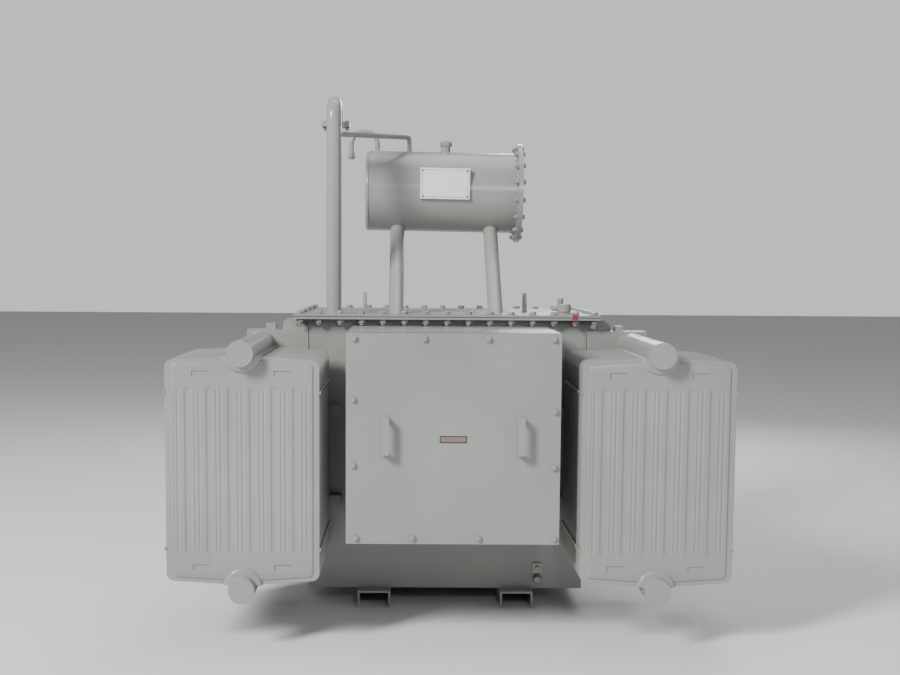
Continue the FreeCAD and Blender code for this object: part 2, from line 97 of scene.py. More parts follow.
camera_pitch = 0.0901
camera_turn = -0.0055
camera_roll = 0.0061
bpy.ops.object.camera_add(location=(-0.1321, -5.0845, 1.2978))
camera = bpy.context.object
aim_down = Euler((math.pi / 2 - camera_pitch, 0, camera_turn)).to_matrix()
camera.rotation_euler = (aim_down @ Matrix.Rotation(camera_roll, 3, "Z")).to_euler()
camera.data.sensor_width = 36
camera.data.lens = 50.3
camera.data.shift_x = 0.0348
camera.data.shift_y = 0.0479
bpy.context.scene.camera = camera

# ---- Grey enamel, and the tank with its rim, lid, skids and stiffeners ----
# Welded steel plate, sprayed with two coats of light grey enamel over primer. The paint has
# a faint orange peel and the plates bow a little. Upward faces get a painted sky sheen: a
# lighter, bluer colour mixed in, in patches.


def link(tree, source, output, target, slot):
    """Join one node's output to another's input."""
    tree.links.new(source.outputs[output], target.inputs[slot])


def mix_enamel(name, light, dark, top_sheen, gloss_low, gloss_high):
    """Enamel whose tone drifts slowly over the plates, with painted sheen on upward faces."""
    paint = bpy.data.materials.new(name)
    paint.use_nodes = True
    tree = paint.node_tree
    shader = tree.nodes["Principled BSDF"]
    place = tree.nodes.new("ShaderNodeTexCoord")

    drift = tree.nodes.new("ShaderNodeTexNoise")
    drift.inputs["Scale"].default_value = 2.3
    drift.inputs["Detail"].default_value = 5
    link(tree, place, "Object", drift, "Vector")
    tone = tree.nodes.new("ShaderNodeValToRGB")
    tone.color_ramp.elements[0].position = 0.35
    tone.color_ramp.elements[0].color = (*dark, 1)
    tone.color_ramp.elements[1].position = 0.65
    tone.color_ramp.elements[1].color = (*light, 1)
    link(tree, drift, "Fac", tone, "Fac")

    # Painted sheen: faces pointing up are mixed, in noisy patches, towards a lighter colour that stands
    # in for the sky's light falling on them.
    facing = tree.nodes.new("ShaderNodeNewGeometry")
    upward = tree.nodes.new("ShaderNodeSeparateXYZ")
    link(tree, facing, "Normal", upward, "Vector")
    sheen_patch_noise = tree.nodes.new("ShaderNodeTexNoise")
    sheen_patch_noise.inputs["Scale"].default_value = 38
    sheen_patch_noise.inputs["Detail"].default_value = 8
    link(tree, place, "Object", sheen_patch_noise, "Vector")
    upward_weight = tree.nodes.new("ShaderNodeMapRange")
    upward_weight.inputs["From Min"].default_value = 0.55
    upward_weight.inputs["From Max"].default_value = 1.0
    upward_weight.inputs["To Max"].default_value = 0.55
    link(tree, upward, "Z", upward_weight, "Value")
    top_sheen_mask = tree.nodes.new("ShaderNodeMath")
    top_sheen_mask.operation = "MULTIPLY"
    link(tree, upward_weight, "Result", top_sheen_mask, 0)
    link(tree, sheen_patch_noise, "Fac", top_sheen_mask, 1)
    top_sheen_mix = tree.nodes.new("ShaderNodeMix")
    top_sheen_mix.data_type = "RGBA"
    top_sheen_mix.inputs[7].default_value = (*top_sheen, 1)
    link(tree, top_sheen_mask, 0, top_sheen_mix, 0)
    link(tree, tone, "Color", top_sheen_mix, 6)
    link(tree, top_sheen_mix, 2, shader, "Base Color")

    smears = tree.nodes.new("ShaderNodeTexNoise")
    smears.inputs["Scale"].default_value = 9
    smears.inputs["Detail"].default_value = 6
    link(tree, place, "Object", smears, "Vector")
    gloss = tree.nodes.new("ShaderNodeMapRange")
    gloss.inputs["To Min"].default_value = gloss_low
    gloss.inputs["To Max"].default_value = gloss_high
    link(tree, smears, "Fac", gloss, "Value")
    link(tree, gloss, "Result", shader, "Roughness")

    peel = tree.nodes.new("ShaderNodeTexNoise")
    peel.inputs["Scale"].default_value = 420
    peel.inputs["Detail"].default_value = 2
    link(tree, place, "Object", peel, "Vector")
    grain = tree.nodes.new("ShaderNodeBump")
    grain.inputs["Strength"].default_value = 0.12
    grain.inputs["Distance"].default_value = 0.0004
    link(tree, peel, "Fac", grain, "Height")
    bow = tree.nodes.new("ShaderNodeTexNoise")
    bow.inputs["Scale"].default_value = 4.5
    bow.inputs["Detail"].default_value = 1
    link(tree, place, "Object", bow, "Vector")
    waves = tree.nodes.new("ShaderNodeBump")
    waves.inputs["Strength"].default_value = 0.25
    waves.inputs["Distance"].default_value = 0.004
    link(tree, bow, "Fac", waves, "Height")
    link(tree, grain, "Normal", waves, "Normal")
    link(tree, waves, "Normal", shader, "Normal")
    return paint


# The third colour is the painted sky sheen on upward faces, lighter and bluer than the enamel.
enamel = mix_enamel(
    "grey_enamel", (0.268, 0.281, 0.263), (0.236, 0.250, 0.236), (0.36, 0.375, 0.365), 0.17, 0.31
)


def paint_nodes(material, *names):
    """Give each of these CAD pieces one finish."""
    for name in names:
        for part_slot in nodes[name].material_slots:
            part_slot.material = material


paint_nodes(enamel, "tank_body", "tank_rim", "tank_lid", "left_skid", "right_skid")
paint_nodes(enamel, "left_stiffeners", "right_stiffeners")

gasket_rubber = bpy.data.materials.new("gasket_rubber")
gasket_rubber.use_nodes = True
rubber_shader = gasket_rubber.node_tree.nodes["Principled BSDF"]
rubber_shader.inputs["Base Color"].default_value = (0.03, 0.03, 0.028, 1)
rubber_grain = gasket_rubber.node_tree.nodes.new("ShaderNodeTexNoise")
rubber_grain.inputs["Scale"].default_value = 160
rubber_place = gasket_rubber.node_tree.nodes.new("ShaderNodeTexCoord")
link(gasket_rubber.node_tree, rubber_place, "Object", rubber_grain, "Vector")
rubber_range = gasket_rubber.node_tree.nodes.new("ShaderNodeMapRange")
rubber_range.inputs["To Min"].default_value = 0.6
rubber_range.inputs["To Max"].default_value = 0.85
link(gasket_rubber.node_tree, rubber_grain, "Fac", rubber_range, "Value")
link(gasket_rubber.node_tree, rubber_range, "Result", rubber_shader, "Roughness")
paint_nodes(gasket_rubber, "lid_gasket")


def finish_piece(piece, name, material, angle=35):
    """Settle a modelled piece: place in its mesh, smooth faces, finish, and body."""
    bpy.ops.object.select_all(action="DESELECT")
    piece.select_set(True)
    bpy.context.view_layer.objects.active = piece
    bpy.ops.object.transform_apply(location=True, rotation=True, scale=True)
    bpy.ops.object.shade_smooth_by_angle(angle=math.radians(angle))
    piece.name = name
    piece.data.name = name
    piece.data.materials.clear()
    piece.data.materials.append(material)
    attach(piece, "root")


def join_pieces(parts):
    """Join several meshes into the first one."""
    bpy.ops.object.select_all(action="DESELECT")
    for part in parts:
        part.select_set(True)
    bpy.context.view_layer.objects.active = parts[0]
    bpy.ops.object.transform_apply(location=True, rotation=True, scale=True)
    if len(parts) > 1:
        bpy.ops.object.join()
    return parts[0]


def copy_to(template, turns):
    """Copy a template to each place, every copy with its own mesh, and join the copies."""
    copies = []
    for turn in turns:
        copy = template.copy()
        copy.data = template.data.copy()
        bpy.context.collection.objects.link(copy)
        copy.matrix_world = turn
        copies.append(copy)
    bpy.context.view_layer.update()
    bpy.data.objects.remove(template)
    return join_pieces(copies)


# ---- Radiator elements ----
# Each of the twelve elements is two pressed steel sheets, seam-welded round the edge. Six
# channels run down them, each with two narrow grooves on its right. There is an oblong mark
# in each corner, and a raised collar round each header pipe.
fins_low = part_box("right_radiator_fins")[0]
header_low, header_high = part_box("right_upper_header")
fin_count = 12
fin_pitch = 0.045
fin_body = 0.010
fin_seam = 0.0026
header_x = (header_low.x + header_high.x) / 2
header_half = 0.400
fin_mid_z = (header_low.z + header_high.z) / 2 - header_half
fin_mid_y = fins_low.y + fin_body / 2
fin_half_width = 0.260
fin_half_height = 0.393
fin_slope = 0.017


def cut_at(position, normal):
    """Cut everything selected with a plane, and keep both sides."""
    bpy.ops.mesh.select_all(action="SELECT")
    bpy.ops.mesh.bisect(plane_co=position, plane_no=normal)


def pick_vertices(piece, chosen):
    """Select just the vertices that pass a test, and go on in edit mode."""
    bpy.ops.object.mode_set(mode="EDIT")
    bpy.ops.mesh.select_mode(type="VERT")
    bpy.ops.mesh.select_all(action="DESELECT")
    bpy.ops.object.mode_set(mode="OBJECT")
    for vertex in piece.data.vertices:
        vertex.select = chosen(vertex.co)
    bpy.ops.object.mode_set(mode="EDIT")


def pick_edges(piece, chosen):
    """Select just the edges whose two ends pass a test, and go on in edit mode."""
    bpy.ops.object.mode_set(mode="EDIT")
    bpy.ops.mesh.select_mode(type="EDGE")
    bpy.ops.mesh.select_all(action="DESELECT")
    bpy.ops.object.mode_set(mode="OBJECT")
    for edge in piece.data.edges:
        start, end = (piece.data.vertices[index].co for index in edge.vertices)
        edge.select = chosen(start, end)
    bpy.ops.object.mode_set(mode="EDIT")


def element_outline(half_width, half_height, slope, corner, y):
    """Flat sheet whose top and bottom edges rise to the header, with round corners."""
    bpy.ops.mesh.primitive_plane_add(
        size=2, location=(header_x, y, fin_mid_z), rotation=(math.pi / 2, 0, 0)
    )
    sheet = bpy.context.object
    sheet.scale = (half_width, half_height - slope, 1)
    bpy.ops.object.transform_apply(location=True, rotation=True, scale=True)
    bpy.ops.object.mode_set(mode="EDIT")
    bpy.ops.mesh.select_mode(type="VERT")
    cut_at((header_x, y, fin_mid_z), (1, 0, 0))
    pick_vertices(sheet, lambda v: abs(v.x - header_x) < 0.001 and v.z > fin_mid_z)
    bpy.ops.transform.translate(value=(0, 0, slope))
    pick_vertices(sheet, lambda v: abs(v.x - header_x) < 0.001 and v.z < fin_mid_z)
    bpy.ops.transform.translate(value=(0, 0, -slope))
    pick_vertices(sheet, lambda v: abs(v.x - header_x) > half_width - 0.001)
    bpy.ops.mesh.bevel(affect="VERTICES", offset=corner, segments=6)
    return sheet


# The seam: a thin flat plate with the element's full outline.
seam = element_outline(fin_half_width, fin_half_height, fin_slope, 0.025, fin_mid_y)
bpy.ops.mesh.select_all(action="SELECT")
bpy.ops.mesh.dissolve_limited(angle_limit=0.01)
bpy.ops.mesh.extrude_region_move(TRANSFORM_OT_translate={"value": (0, fin_seam, 0)})
bpy.ops.mesh.select_all(action="SELECT")
bpy.ops.transform.translate(value=(0, -fin_seam / 2, 0))
bpy.ops.mesh.normals_make_consistent(inside=False)
pick_edges(seam, lambda a, b: abs(a.y - b.y) < 0.0001)
bpy.ops.mesh.bevel(offset=0.0009, segments=1)
bpy.ops.object.mode_set(mode="OBJECT")

# The oil space: one sheet, cut along the lines where the pressing changes slope. Each pair
# below is a place across one pitch and the depth there: a steep step in, a channel that rises
# to the right, and two narrow grooves.
flute_first = -0.1955
flute_pitch = 0.0727
flute_half_length = 0.284
flute_profile = (
    (0.0000, 0.0000),
    (0.0015, 0.0006),
    (0.0050, 0.0034),
    (0.0070, 0.0037),
    (0.0250, 0.0023),
    (0.0310, 0.0009),
    (0.0330, 0.0012),
    (0.0360, 0.0030),
    (0.0390, 0.0012),
    (0.0430, 0.0000),
    (0.0480, 0.0006),
    (0.0510, 0.0024),
    (0.0540, 0.0007),
    (0.0590, -0.0002),
    (0.0650, 0.0004),
    (0.0680, 0.0002),
    (0.0727, 0.0000),
)
mark_x = 0.138
mark_z = 0.330
mark_half_length = 0.031
mark_half_height = 0.010
mark_depth = 0.0034
mark_wall_x = 0.002
mark_wall_z = 0.0025
body_half_width = 0.236
body_half_height = 0.376
body_edge = 0.005


def pressed_depth(x, z):
    """Depth of pressing at a point, fading to nothing at the ends of the channels."""
    if abs(x) > body_half_width - body_edge:
        return 0.0
    from_end = flute_half_length - abs(z)
    if from_end > 0:
        along = (x - flute_first) % flute_pitch
        for (start, low), (end, high) in zip(flute_profile, flute_profile[1:]):
            if start <= along <= end:
                depth = low + (high - low) * (along - start) / (end - start)
        end_slope = 0.012
        if 0.002 < along < 0.034:
            from_middle = abs(along - 0.016) / 0.014
            end_slope = 0.004 + 0.008 * from_middle**2
        return depth * min(1.0, from_end / end_slope)
    in_x = mark_half_length - abs(abs(x) - mark_x)
    in_z = mark_half_height - abs(abs(z) - mark_z)
    if in_x > 0 and in_z > 0:
        return mark_depth * min(1.0, in_x / mark_wall_x, in_z / mark_wall_z)
    return 0.0


oil_sheet = element_outline(
    body_half_width, body_half_height, 0.0155, 0.016, fin_mid_y - fin_body / 2
)
lines_x = []
for index in range(-1, 7):
    for along, _ in flute_profile[1:]:
        lines_x.append(flute_first + index * flute_pitch + along)
for side in (-1, 1):
    lines_x.append(side * (body_half_width - body_edge))
    for reach in (mark_half_length, mark_half_length - mark_wall_x):
        lines_x.append(side * (mark_x + reach))
        lines_x.append(side * (mark_x - reach))
lines_x = sorted({round(x, 5) for x in lines_x if abs(x) < body_half_width - 0.9 * body_edge})
lines_z = [0.0]
for side in (-1, 1):
    for from_end in (0, 0.003, 0.007, 0.013):
        lines_z.append(side * (flute_half_length - from_end))
    for reach in (mark_half_height, mark_half_height - mark_wall_z):
        lines_z.append(side * (mark_z + reach))
        lines_z.append(side * (mark_z - reach))
for x in lines_x:
    cut_at((header_x + x, 0, 0), (1, 0, 0))
for z in sorted(lines_z):
    cut_at((0, 0, fin_mid_z + z), (0, 0, 1))
bpy.ops.object.mode_set(mode="OBJECT")
depths = {}
for vertex in oil_sheet.data.vertices:
    depth = pressed_depth(vertex.co.x - header_x, vertex.co.z - fin_mid_z)
    depths.setdefault(round(depth, 4), set()).add(vertex.index)
for depth, members in depths.items():
    if depth == 0:
        continue
    pick_vertices(oil_sheet, lambda v: False)
    bpy.ops.object.mode_set(mode="OBJECT")
    for member in members:
        oil_sheet.data.vertices[member].select = True
    bpy.ops.object.mode_set(mode="EDIT")
    bpy.ops.transform.translate(value=(0, depth, 0))
    bpy.ops.object.mode_set(mode="OBJECT")
bpy.ops.object.mode_set(mode="EDIT")
bpy.ops.mesh.select_all(action="SELECT")
bpy.ops.mesh.region_to_loop()
for sink, spread in ((0.0006, 0.0012), (0.0016, 0.0014), (0.0014, 0.0004), (0.0014, 0)):
    bpy.ops.mesh.extrude_edges_move(TRANSFORM_OT_translate={"value": (0, sink, 0)})
    bpy.ops.transform.resize(
        value=(1 + spread / body_half_width, 1, 1 + spread / body_half_height),
        center_override=(header_x, fin_mid_y, fin_mid_z),
    )
bpy.ops.object.mode_set(mode="OBJECT")
mirror = oil_sheet.modifiers.new("back_sheet", "MIRROR")
mirror.use_axis = (False, True, False)
bpy.ops.object.empty_add(location=(0, fin_mid_y, 0))
middle = bpy.context.object
mirror.mirror_object = middle
bpy.ops.object.select_all(action="DESELECT")
oil_sheet.select_set(True)
bpy.context.view_layer.objects.active = oil_sheet
bpy.ops.object.modifier_apply(modifier="back_sheet")
bpy.data.objects.remove(middle)
bpy.ops.object.mode_set(mode="EDIT")
bpy.ops.mesh.select_all(action="SELECT")
bpy.ops.mesh.remove_doubles(threshold=0.00002)
bpy.ops.mesh.normals_make_consistent(inside=False)
bpy.ops.object.mode_set(mode="OBJECT")

# The collars: shallow raised discs round the header pipes, their inner part cut away where
# the oil space begins.
collar_radius = 0.067
collar_thickness = 0.026
collar_cut = 0.009
collars = []
for side in (-1, 1):
    centre_z = fin_mid_z + side * header_half
    bpy.ops.mesh.primitive_cylinder_add(
        vertices=48,
        radius=collar_radius,
        depth=collar_thickness,
        location=(header_x, fin_mid_y, centre_z),
        rotation=(math.pi / 2, 0, 0),
    )
    collar = bpy.context.object
    bpy.ops.object.transform_apply(location=True, rotation=True, scale=True)
    pick_edges(collar, lambda a, b: abs(a.y - b.y) < 0.0001)
    bpy.ops.mesh.bevel(offset=0.0085, segments=3)
    bpy.ops.mesh.select_all(action="SELECT")
    bpy.ops.mesh.bisect(
        plane_co=(0, 0, centre_z - side * collar_cut),
        plane_no=(0, 0, side),
        clear_outer=True,
        use_fill=True,
    )
    bpy.ops.mesh.select_mode(type="VERT")
    bpy.ops.object.mode_set(mode="OBJECT")
    collars.append(collar)

element = join_pieces([oil_sheet, seam, *collars])
stack = element.modifiers.new("stack", "ARRAY")
stack.count = fin_count
stack.use_relative_offset = False
stack.use_constant_offset = True
stack.constant_offset_displace = (0, fin_pitch, 0)
bpy.ops.object.modifier_apply(modifier="stack")
left_elements = element.copy()
left_elements.data = element.data.copy()
bpy.context.collection.objects.link(left_elements)
left_elements.location.x = -2 * header_x
finish_piece(element, "right_radiator_elements", enamel, angle=40)
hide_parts("right_radiator_fins")
finish_piece(left_elements, "left_radiator_elements", enamel, angle=40)
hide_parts("left_radiator_fins")
paint_nodes(enamel, "left_radiator_ties", "right_radiator_ties")
for level in ("lower", "upper"):
    for hand in ("left", "right"):
        paint_nodes(enamel, hand + "_" + level + "_header", hand + "_" + level + "_duct")

# ---- Welds ----
# Fillet welds of steel where plates and pipes meet: thin beads with the ripples of the
# welding still in them, under the same paint as the plates.
bead_radius = 0.0035


def straight_bead(start, end, radius=bead_radius):
    """A straight weld bead, its length cut into short sections."""
    run = Vector(end) - Vector(start)
    bpy.ops.mesh.primitive_cylinder_add(
        vertices=8,
        radius=radius,
        depth=run.length,
        location=(Vector(start) + Vector(end)) / 2,
        rotation=run.to_track_quat("Z", "Y").to_euler(),
    )
    bead = bpy.context.object
    bpy.ops.object.transform_apply(location=True, rotation=True, scale=True)
    pick_edges(bead, lambda a, b: (a - b).length > 0.9 * run.length)
    bpy.ops.mesh.subdivide(number_cuts=max(1, min(99, int(run.length / 0.006))))
    bpy.ops.mesh.select_mode(type="VERT")
    bpy.ops.object.mode_set(mode="OBJECT")
    return bead


def ring_bead(centre, axis, ring_radius, radius=bead_radius):
    """A weld bead round a pipe."""
    bpy.ops.mesh.primitive_torus_add(
        major_radius=ring_radius,
        minor_radius=radius,
        major_segments=72,
        minor_segments=8,
        location=centre,
        rotation=Vector(axis).to_track_quat("Z", "Y").to_euler(),
    )
    ring = bpy.context.object
    bpy.ops.object.transform_apply(location=True, rotation=True, scale=True)
    return ring


def frame_beads(corners):
    """Beads round a closed outline."""
    beads = []
    for index, corner in enumerate(corners):
        beads.append(straight_bead(corner, corners[(index + 1) % len(corners)]))
    return beads


tank_low, tank_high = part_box("tank_body")
rim_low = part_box("tank_rim")[0]
beads = frame_beads(
    [
        (tank_low.x, tank_low.y, rim_low.z),
        (tank_high.x, tank_low.y, rim_low.z),
        (tank_high.x, tank_high.y, rim_low.z),
        (tank_low.x, tank_high.y, rim_low.z),
    ]
)
for name in ("front_cable_box", "back_cable_box"):
    low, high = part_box(name)
    wall_y = tank_low.y if name == "front_cable_box" else tank_high.y
    beads += frame_beads(
        [
            (low.x, wall_y, low.z),
            (high.x, wall_y, low.z),
            (high.x, wall_y, high.z),
            (low.x, wall_y, high.z),
        ]
    )
for hand in ("left", "right"):
    side_x = tank_low.x if hand == "left" else tank_high.x
    for level in ("lower", "upper"):
        low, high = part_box(hand + "_" + level + "_duct")
        beads += frame_beads(
            [
                (side_x, low.y, low.z),
                (side_x, high.y, low.z),
                (side_x, high.y, high.z),
                (side_x, low.y, high.z),
            ]
        )
        pipe_low, pipe_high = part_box(hand + "_" + level + "_header")
        pipe = (pipe_low + pipe_high) / 2
        pipe_radius = (pipe_high.z - pipe_low.z) / 2
        beads.append(ring_bead((pipe.x, low.y, pipe.z), (0, 1, 0), pipe_radius + 0.001))
        cap_seam = (pipe.x, pipe_low.y + 0.004, pipe.z)
        beads.append(ring_bead(cap_seam, (0, 1, 0), pipe_radius - 0.001, 0.0018))
for hand in ("left", "right"):
    skid_low, skid_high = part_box(hand + "_skid")
    for edge_x in (skid_low.x, skid_high.x):
        beads.append(
            straight_bead((edge_x, tank_low.y, skid_high.z), (edge_x, tank_high.y, skid_high.z))
        )
vent_low, vent_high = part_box("vent_pipe")
vent_radius = (vent_high.x - vent_low.x) / 2
vent_x = (vent_low.x + vent_high.x) / 2
vent_y = vent_low.y + vent_radius
beads.append(ring_bead((vent_x, vent_y, vent_low.z), (0, 0, 1), vent_radius + 0.001, 0.004))
tank_welds = join_pieces(beads)
ripple = bpy.data.textures.new("weld_ripple", "CLOUDS")
ripple.noise_scale = 0.006
wrinkle = tank_welds.modifiers.new("ripple", "DISPLACE")
wrinkle.texture = ripple
wrinkle.strength = 0.0022
wrinkle.mid_level = 0.5
wrinkle.texture_coords = "GLOBAL"
bpy.ops.object.modifier_apply(modifier="ripple")
finish_piece(tank_welds, "tank_welds", enamel, angle=60)

# ---- Bolts of the lid ----
# Hexagon steel bolts through lid, gasket and rim, with a washer each side and a nut below,
# painted over with the tank. They stand in one row round the edge of the lid.


def hexagon(across, height, z):
    """Hexagon prism with its outer corners chamfered, standing on a level."""
    bpy.ops.mesh.primitive_cylinder_add(
        vertices=6, radius=across / math.sqrt(3), depth=height, location=(0, 0, z + height / 2)
    )
    prism = bpy.context.object
    bpy.ops.object.transform_apply(location=True, rotation=True, scale=True)
    pick_edges(prism, lambda a, b: abs(a.z - b.z) < 0.0001)
    bpy.ops.mesh.bevel(offset=across * 0.06, segments=2)
    bpy.ops.mesh.select_mode(type="VERT")
    bpy.ops.object.mode_set(mode="OBJECT")
    return prism


def disc(radius, height, z, vertices=24):
    """Washer or shank: a short round bar with softened edges."""
    bpy.ops.mesh.primitive_cylinder_add(
        vertices=vertices, radius=radius, depth=height, location=(0, 0, z + height / 2)
    )
    bar = bpy.context.object
    bpy.ops.object.transform_apply(location=True, rotation=True, scale=True)
    pick_edges(bar, lambda a, b: abs(a.z - b.z) < 0.0001)
    bpy.ops.mesh.bevel(offset=min(height, radius) * 0.15, segments=1)
    bpy.ops.mesh.select_mode(type="VERT")
    bpy.ops.object.mode_set(mode="OBJECT")
    return bar


def through_bolt(size, grip):
    """Bolt with its head up: washers both sides of the grip, nut and thread end below."""
    across = 1.5 * size
    washer = 0.15 * size
    nut = 0.8 * size
    thread_end = 0.45 * size
    parts = [
        disc(size, washer, 0),
        hexagon(across, 0.65 * size, washer),
        disc(size, washer, -grip - washer),
        hexagon(across, nut, -grip - washer - nut),
        disc(size / 2, thread_end, -grip - washer - nut - thread_end, 16),
    ]
    return join_pieces(parts)


lid_low, lid_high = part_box("tank_lid")
bolt_size = 0.016
edge_distance = 0.022
front_pitch = 0.0805
front_half_count = 6
side_count = 9
turns = []
bolt_grip = lid_high.z - rim_low.z
for row_y in (lid_low.y + edge_distance, lid_high.y - edge_distance):
    for index in range(-front_half_count, front_half_count + 1):
        spin = Matrix.Rotation(0.4 * index, 4, "Z")
        turns.append(Matrix.Translation((index * front_pitch, row_y, lid_high.z)) @ spin)
side_pitch = (lid_high.y - lid_low.y - 2 * edge_distance) / (side_count + 1)
for row_x in (lid_low.x + edge_distance, lid_high.x - edge_distance):
    for index in range(1, side_count + 1):
        spin = Matrix.Rotation(0.7 * index, 4, "Z")
        row_y = lid_low.y + edge_distance + index * side_pitch
        turns.append(Matrix.Translation((row_x, row_y, lid_high.z)) @ spin)
    for row_y in (lid_low.y + edge_distance, lid_high.y - edge_distance):
        turns.append(Matrix.Translation((row_x, row_y, lid_high.z)))
lid_bolts = copy_to(through_bolt(bolt_size, bolt_grip), turns)
finish_piece(lid_bolts, "lid_bolts", enamel)

# ---- Cable boxes ----
# Folded and welded sheet boxes, each closed by a flat cover on a rubber gasket. Twelve
# bolts hold the cover, and two handles of bent flat bar, welded on, lift it off.
paint_nodes(enamel, "front_cable_box", "back_cable_box", "front_box_cover", "back_box_cover")
paint_nodes(enamel, "front_cover_handles", "back_cover_handles")


def pick_faces(piece, chosen):
    """Select just the faces that pass a test, and go on in edit mode."""
    bpy.ops.object.mode_set(mode="EDIT")
    bpy.ops.mesh.select_mode(type="FACE")
    bpy.ops.mesh.select_all(action="DESELECT")
    bpy.ops.object.mode_set(mode="OBJECT")
    for face in piece.data.polygons:
        face.select = chosen(face)
    bpy.ops.object.mode_set(mode="EDIT")


def bar_handle(x, face_y, outward, z):
    """Handle bent from flat bar: the grip, then a leg back to the cover at each end."""
    width = 0.024
    thick = 0.005
    span = 0.128
    reach = 0.040
    bpy.ops.mesh.primitive_cube_add(size=1, location=(x, face_y + outward * (reach - thick / 2), z))
    handle = bpy.context.object
    handle.scale = (width, thick, span - 2 * thick)
    bpy.ops.object.transform_apply(location=True, rotation=True, scale=True)
    for rise in (-1, 1):
        pick_faces(
            handle,
            lambda f: f.normal.z * rise > 0.9 and (f.center.z - z) * rise > span / 2 - 0.007,
        )
        bpy.ops.mesh.extrude_region_move(TRANSFORM_OT_translate={"value": (0, 0, rise * thick)})
        pick_faces(
            handle,
            lambda f: f.normal.y * outward < -0.9 and (f.center.z - z) * rise > span / 2 - thick,
        )
        bpy.ops.mesh.extrude_region_move(
            TRANSFORM_OT_translate={"value": (0, -outward * (reach - thick), 0)}
        )
    front_y = face_y + outward * reach
    for corner_y, corner_z, radius in (
        (front_y, span / 2, 0.008),
        (front_y - outward * thick, span / 2 - thick, 0.003),
    ):
        for rise in (-1, 1):
            pick_edges(
                handle,
                lambda a, b: all(
                    abs(end.y - corner_y) < 0.0002 and abs(end.z - z - rise * corner_z) < 0.0002
                    for end in (a, b)
                ),
            )
            bpy.ops.mesh.bevel(offset=radius, segments=4)
    bpy.ops.object.mode_set(mode="OBJECT")
    parts = [handle]
    for rise in (-1, 1):
        for side in (-1, 1):
            foot_z = z + rise * (span / 2 - thick / 2 + side * thick / 2)
            parts.append(
                straight_bead(
                    (x - width / 2, face_y, foot_z), (x + width / 2, face_y, foot_z), 0.0022
                )
            )
    return join_pieces(parts)


def head_bolt(size):
    """Bolt head on its washer, for a bolt screwed into the piece behind."""
    washer = 0.15 * size
    return join_pieces([disc(size, washer, 0), hexagon(1.5 * size, 0.65 * size, washer)])


for face in ("front", "back"):
    cover_low, cover_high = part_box(face + "_box_cover")
    outward = -1 if face == "front" else 1
    face_y = cover_low.y if face == "front" else cover_high.y
    middle_x = (cover_low.x + cover_high.x) / 2
    spots = []
    top_row, bottom_row = (-0.338, -0.100, 0.116, 0.338), (-0.332, -0.138, 0.088, 0.346)
    left_drops, right_drops = (0.226, 0.451), (0.264, 0.456)
    spots += [(along, cover_high.z - 0.019) for along in top_row]
    spots += [(along, cover_low.z + 0.021) for along in bottom_row]
    spots += [(-0.341, cover_high.z - drop) for drop in left_drops]
    spots += [(0.344, cover_high.z - drop) for drop in right_drops]
    turns = []
    for index, (along, z) in enumerate(spots):
        tip = Matrix.Rotation(-outward * math.pi / 2, 4, "X") @ Matrix.Rotation(0.5 * index, 4, "Z")
        turns.append(Matrix.Translation((middle_x - outward * along, face_y, z)) @ tip)
    cover_bolts = copy_to(head_bolt(0.012), turns)
    finish_piece(cover_bolts, face + "_cover_bolts", enamel)

    rods_low, rods_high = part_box(face + "_cover_handles")
    rod_radius = 0.006
    rod_z = (rods_low.z + rods_high.z) / 2
    handles = join_pieces(
        [
            bar_handle(rods_low.x + rod_radius, face_y, outward, rod_z),
            bar_handle(rods_high.x - rod_radius, face_y, outward, rod_z),
        ]
    )
    finish_piece(handles, face + "_bar_handles", enamel)
    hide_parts(face + "_cover_handles")

    # Edge of the gasket that shows between box and cover.
    joint_y = cover_high.y if face == "front" else cover_low.y
    bpy.ops.mesh.primitive_cube_add(
        size=1, location=(middle_x, joint_y - outward * 0.0015, (cover_low.z + cover_high.z) / 2)
    )
    gasket = bpy.context.object
    gasket.scale = (cover_high.x - cover_low.x + 0.002, 0.003, cover_high.z - cover_low.z + 0.002)
    bpy.ops.object.transform_apply(location=True, rotation=True, scale=True)
    bpy.ops.object.mode_set(mode="EDIT")
    bpy.ops.mesh.select_all(action="SELECT")
    bpy.ops.mesh.bevel(offset=0.0008, segments=1)
    bpy.ops.object.mode_set(mode="OBJECT")
    finish_piece(gasket, face + "_cover_gasket", gasket_rubber)

# ---- Small label on the front cover ----
# A blank strip of thin plastic, grey-brown in a darker border, glued to the middle of the
# cover. The border is a change of colour in the plastic, level with the rest.
label_low, label_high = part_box("front_cover_label")
label_plastic = bpy.data.materials.new("label_plastic")
label_plastic.use_nodes = True
label_tree = label_plastic.node_tree
label_shader = label_tree.nodes["Principled BSDF"]
label_shader.inputs["Roughness"].default_value = 0.45
label_place = label_tree.nodes.new("ShaderNodeTexCoord")
label_centre = label_tree.nodes.new("ShaderNodeMapping")
label_middle = (label_low + label_high) / 2
label_centre.inputs["Location"].default_value = (-label_middle.x, 0, -label_middle.z)
link(label_tree, label_place, "Object", label_centre, "Vector")
label_split = label_tree.nodes.new("ShaderNodeSeparateXYZ")
link(label_tree, label_centre, "Vector", label_split, "Vector")
label_edges = []
for axis, half in (("X", 0.0425), ("Z", 0.0085)):
    size_of = label_tree.nodes.new("ShaderNodeMath")
    size_of.operation = "ABSOLUTE"
    link(label_tree, label_split, axis, size_of, 0)
    past = label_tree.nodes.new("ShaderNodeMath")
    past.operation = "GREATER_THAN"
    past.inputs[1].default_value = half
    link(label_tree, size_of, 0, past, 0)
    label_edges.append(past)
label_border = label_tree.nodes.new("ShaderNodeMath")
label_border.operation = "MAXIMUM"
link(label_tree, label_edges[0], 0, label_border, 0)
link(label_tree, label_edges[1], 0, label_border, 1)
label_colour = label_tree.nodes.new("ShaderNodeMix")
label_colour.data_type = "RGBA"
